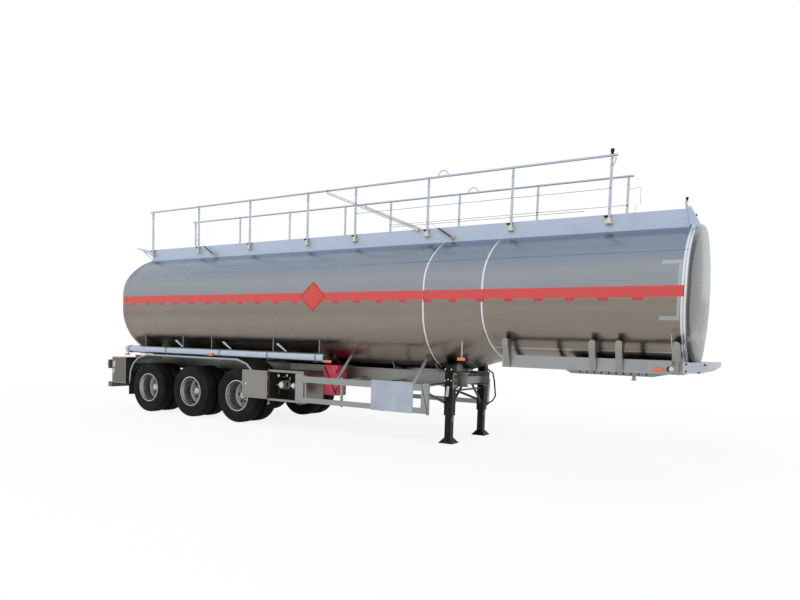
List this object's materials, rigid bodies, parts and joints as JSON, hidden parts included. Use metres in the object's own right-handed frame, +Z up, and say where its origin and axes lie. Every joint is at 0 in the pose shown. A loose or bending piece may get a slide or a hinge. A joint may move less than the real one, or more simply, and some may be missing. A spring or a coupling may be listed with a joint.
{
  "type": "tanker trailer",
  "caption": "Three-axle aluminium tank semitrailer with twin wheels, landing legs, walkway with folding handrails and a side discharge cabinet.",
  "frame": {"origin": "on the ground under the middle of the trailer's length and width", "axes": "+X towards the front (king pin) end, +Z up, the near side of the picture is -Y"},
  "size_m": [12.32, 2.5, 4.4858],
  "materials": {
    "tank_skin": "polished",
    "walkway_sheet": "satin",
    "cream_bracket": "gloss",
    "black_rubber": "matte",
    "rail_tube": "satin",
    "strut_black": "gloss",
    "strut_chrome": "polished",
    "manhole_metal": "satin",
    "tyre_rubber": "matte",
    "rim_steel": "satin",
    "axle_black": "satin",
    "spring_dark": "matte",
    "frame_metal": "satin",
    "bracket_metal": "satin",
    "coupler_metal": "satin",
    "pin_steel": "machined",
    "leg_black": "satin",
    "brace_metal": "satin",
    "cabinet_sheet": "satin",
    "valve_metal": "cast",
    "guard_sheet": "satin",
    "sign_white": "satin",
    "hose_tube_metal": "satin",
    "extinguisher_red": "gloss",
    "bumper_dark": "satin",
    "lamp_red": "gloss",
    "lamp_amber": "gloss",
    "ladder_metal": "satin"
  },
  "bodies": {
    "trailer": {"air_brakes": "axle_black", "axles": "axle_black", "bumper": "bumper_dark", "coupler": "coupler_metal", "extinguisher_boxes": "extinguisher_red", "frame_beams": "frame_metal", "hose_tubes": "hose_tube_metal", "kingpin": "pin_steel", "ladder": "ladder_metal", "landing_braces": "brace_metal", "landing_feet": "leg_black", "landing_legs": "leg_black", "leaf_springs": "spring_dark", "manhole_collars": "manhole_metal", "marker_lamps": "lamp_amber", "mudflaps": "black_rubber", "mudguards": "guard_sheet", "rail_brackets": "cream_bracket", "rail_stops": "black_rubber", "side_guards": "guard_sheet", "sign_board": "sign_white", "spring_hangers": "spring_dark", "tail_box": "cabinet_sheet", "tail_lamps": "lamp_red", "tank": "tank_skin", "tank_brackets": "bracket_metal", "valve_cabinet": "cabinet_sheet", "valve_outlets": "valve_metal", "walkway": "walkway_sheet"},
    "wheel_left_1": {"tyres_left_1": "tyre_rubber", "rims_left_1": "rim_steel"},
    "wheel_left_2": {"tyres_left_2": "tyre_rubber", "rims_left_2": "rim_steel"},
    "wheel_left_3": {"tyres_left_3": "tyre_rubber", "rims_left_3": "rim_steel"},
    "wheel_right_1": {"tyres_right_1": "tyre_rubber", "rims_right_1": "rim_steel"},
    "wheel_right_2": {"tyres_right_2": "tyre_rubber", "rims_right_2": "rim_steel"},
    "wheel_right_3": {"tyres_right_3": "tyre_rubber", "rims_right_3": "rim_steel"},
    "post_1": {"rail_post_1": "rail_tube"},
    "post_2": {"rail_post_2": "rail_tube"},
    "post_3": {"rail_post_3": "rail_tube"},
    "post_4": {"rail_post_4": "rail_tube"},
    "post_5": {"rail_post_5": "rail_tube"},
    "post_6": {"rail_post_6": "rail_tube"},
    "post_7": {"rail_post_7": "rail_tube"},
    "post_8": {"rail_post_8": "rail_tube"},
    "bars": {"rail_bars": "rail_tube"},
    "barrel_2": {"strut_barrel_2": "strut_black"},
    "rod_2": {"strut_rod_2": "strut_chrome"},
    "barrel_6": {"strut_barrel_6": "strut_black"},
    "rod_6": {"strut_rod_6": "strut_chrome"},
    "lid_1": {"manhole_lid_1": "manhole_metal"},
    "lid_2": {"manhole_lid_2": "manhole_metal"},
    "lid_3": {"manhole_lid_3": "manhole_metal"},
    "valve_leaf": {"valve_door": "cabinet_sheet"},
    "tail_leaf": {"tail_door": "cabinet_sheet"}
  },
  "joints": [
    {"name": "wheel_left_1_spin", "type": "hinge", "parent": "trailer", "child": "wheel_left_1", "pos_m": [-4.64, 0.92, 0.52], "axis": [0, 1, 0], "continuous": true},
    {"name": "wheel_left_2_spin", "type": "hinge", "parent": "trailer", "child": "wheel_left_2", "pos_m": [-3.33, 0.92, 0.52], "axis": [0, 1, 0], "continuous": true},
    {"name": "wheel_left_3_spin", "type": "hinge", "parent": "trailer", "child": "wheel_left_3", "pos_m": [-2.02, 0.92, 0.52], "axis": [0, 1, 0], "continuous": true},
    {"name": "wheel_right_1_spin", "type": "hinge", "parent": "trailer", "child": "wheel_right_1", "pos_m": [-4.64, -0.92, 0.52], "axis": [0, 1, 0], "continuous": true},
    {"name": "wheel_right_2_spin", "type": "hinge", "parent": "trailer", "child": "wheel_right_2", "pos_m": [-3.33, -0.92, 0.52], "axis": [0, 1, 0], "continuous": true},
    {"name": "wheel_right_3_spin", "type": "hinge", "parent": "trailer", "child": "wheel_right_3", "pos_m": [-2.02, -0.92, 0.52], "axis": [0, 1, 0], "continuous": true},
    {"name": "post_1_fold", "type": "hinge", "parent": "trailer", "child": "post_1", "pos_m": [-5.35, 0, 3.48], "axis": [0, 1, 0], "range_deg": [0, 80]},
    {"name": "post_2_fold", "type": "hinge", "parent": "trailer", "child": "post_2", "pos_m": [-3.8575, 0, 3.48], "axis": [0, 1, 0], "range_deg": [0, 80]},
    {"name": "post_3_fold", "type": "hinge", "parent": "trailer", "child": "post_3", "pos_m": [-2.365, 0, 3.48], "axis": [0, 1, 0], "range_deg": [0, 80]},
    {"name": "post_4_fold", "type": "hinge", "parent": "trailer", "child": "post_4", "pos_m": [-0.8725, 0, 3.48], "axis": [0, 1, 0], "range_deg": [0, 80]},
    {"name": "rail_fold", "type": "hinge", "parent": "trailer", "child": "post_5", "pos_m": [0.232, 0, 3.48], "axis": [0, 1, 0], "range_deg": [0, 80]},
    {"name": "post_6_fold", "type": "hinge", "parent": "trailer", "child": "post_6", "pos_m": [1.7245, 0, 3.48], "axis": [0, 1, 0], "range_deg": [0, 80]},
    {"name": "post_7_fold", "type": "hinge", "parent": "trailer", "child": "post_7", "pos_m": [3.217, 0, 3.48], "axis": [0, 1, 0], "range_deg": [0, 80]},
    {"name": "post_8_fold", "type": "hinge", "parent": "trailer", "child": "post_8", "pos_m": [4.7095, 0, 3.48], "axis": [0, 1, 0], "range_deg": [0, 80]},
    {"name": "bars_level", "type": "hinge", "parent": "post_5", "child": "bars", "pos_m": [0.232, 0, 4.338], "axis": [0, 1, 0], "range_deg": [-80, 0]},
    {"name": "barrel_2_swing", "type": "hinge", "parent": "trailer", "child": "barrel_2", "pos_m": [-3.3725, 0, 3.37], "axis": [0, -1, 0], "range_deg": [0, 5.92]},
    {"name": "rod_2_slide", "type": "slide", "parent": "barrel_2", "child": "rod_2", "axis": [-0.8426, 0, 0.5386], "range_m": [-0.25335, 0]},
    {"name": "barrel_6_swing", "type": "hinge", "parent": "trailer", "child": "barrel_6", "pos_m": [2.2095, 0, 3.37], "axis": [0, -1, 0], "range_deg": [0, 5.92]},
    {"name": "rod_6_slide", "type": "slide", "parent": "barrel_6", "child": "rod_6", "axis": [-0.8426, 0, 0.5386], "range_m": [-0.25335, 0]},
    {"name": "lid_1_hinge", "type": "hinge", "parent": "trailer", "child": "lid_1", "pos_m": [-3.42, 0, 3.487], "axis": [0, -1, 0], "range_deg": [0, 105]},
    {"name": "lid_2_hinge", "type": "hinge", "parent": "trailer", "child": "lid_2", "pos_m": [-0.63, 0, 3.487], "axis": [0, -1, 0], "range_deg": [0, 105]},
    {"name": "lid_3_hinge", "type": "hinge", "parent": "trailer", "child": "lid_3", "pos_m": [3.65, 0, 3.487], "axis": [0, -1, 0], "range_deg": [0, 105]},
    {"name": "valve_door_hinge", "type": "hinge", "parent": "trailer", "child": "valve_leaf", "pos_m": [-1.19, -1.228, 0.775], "axis": [0, 0, 1], "range_deg": [0, 180]},
    {"name": "tail_door_hinge", "type": "hinge", "parent": "trailer", "child": "tail_leaf", "pos_m": [-5.465, -1.173, 0.84], "axis": [0, 0, 1], "range_deg": [0, 110]}
  ],
  "couplings": [
    {"joint": "post_1_fold", "follows": "rail_fold", "ratio": 1},
    {"joint": "post_2_fold", "follows": "rail_fold", "ratio": 1},
    {"joint": "post_3_fold", "follows": "rail_fold", "ratio": 1},
    {"joint": "post_4_fold", "follows": "rail_fold", "ratio": 1},
    {"joint": "post_6_fold", "follows": "rail_fold", "ratio": 1},
    {"joint": "post_7_fold", "follows": "rail_fold", "ratio": 1},
    {"joint": "post_8_fold", "follows": "rail_fold", "ratio": 1},
    {"joint": "bars_level", "follows": "rail_fold", "ratio": -1},
    {"joint": "barrel_2_swing", "follows": "rail_fold", "ratio": 0.073846},
    {"joint": "rod_2_slide", "follows": "rail_fold", "m_per_rad": -0.18138},
    {"joint": "barrel_6_swing", "follows": "rail_fold", "ratio": 0.073846},
    {"joint": "rod_6_slide", "follows": "rail_fold", "m_per_rad": -0.18138}
  ]
}
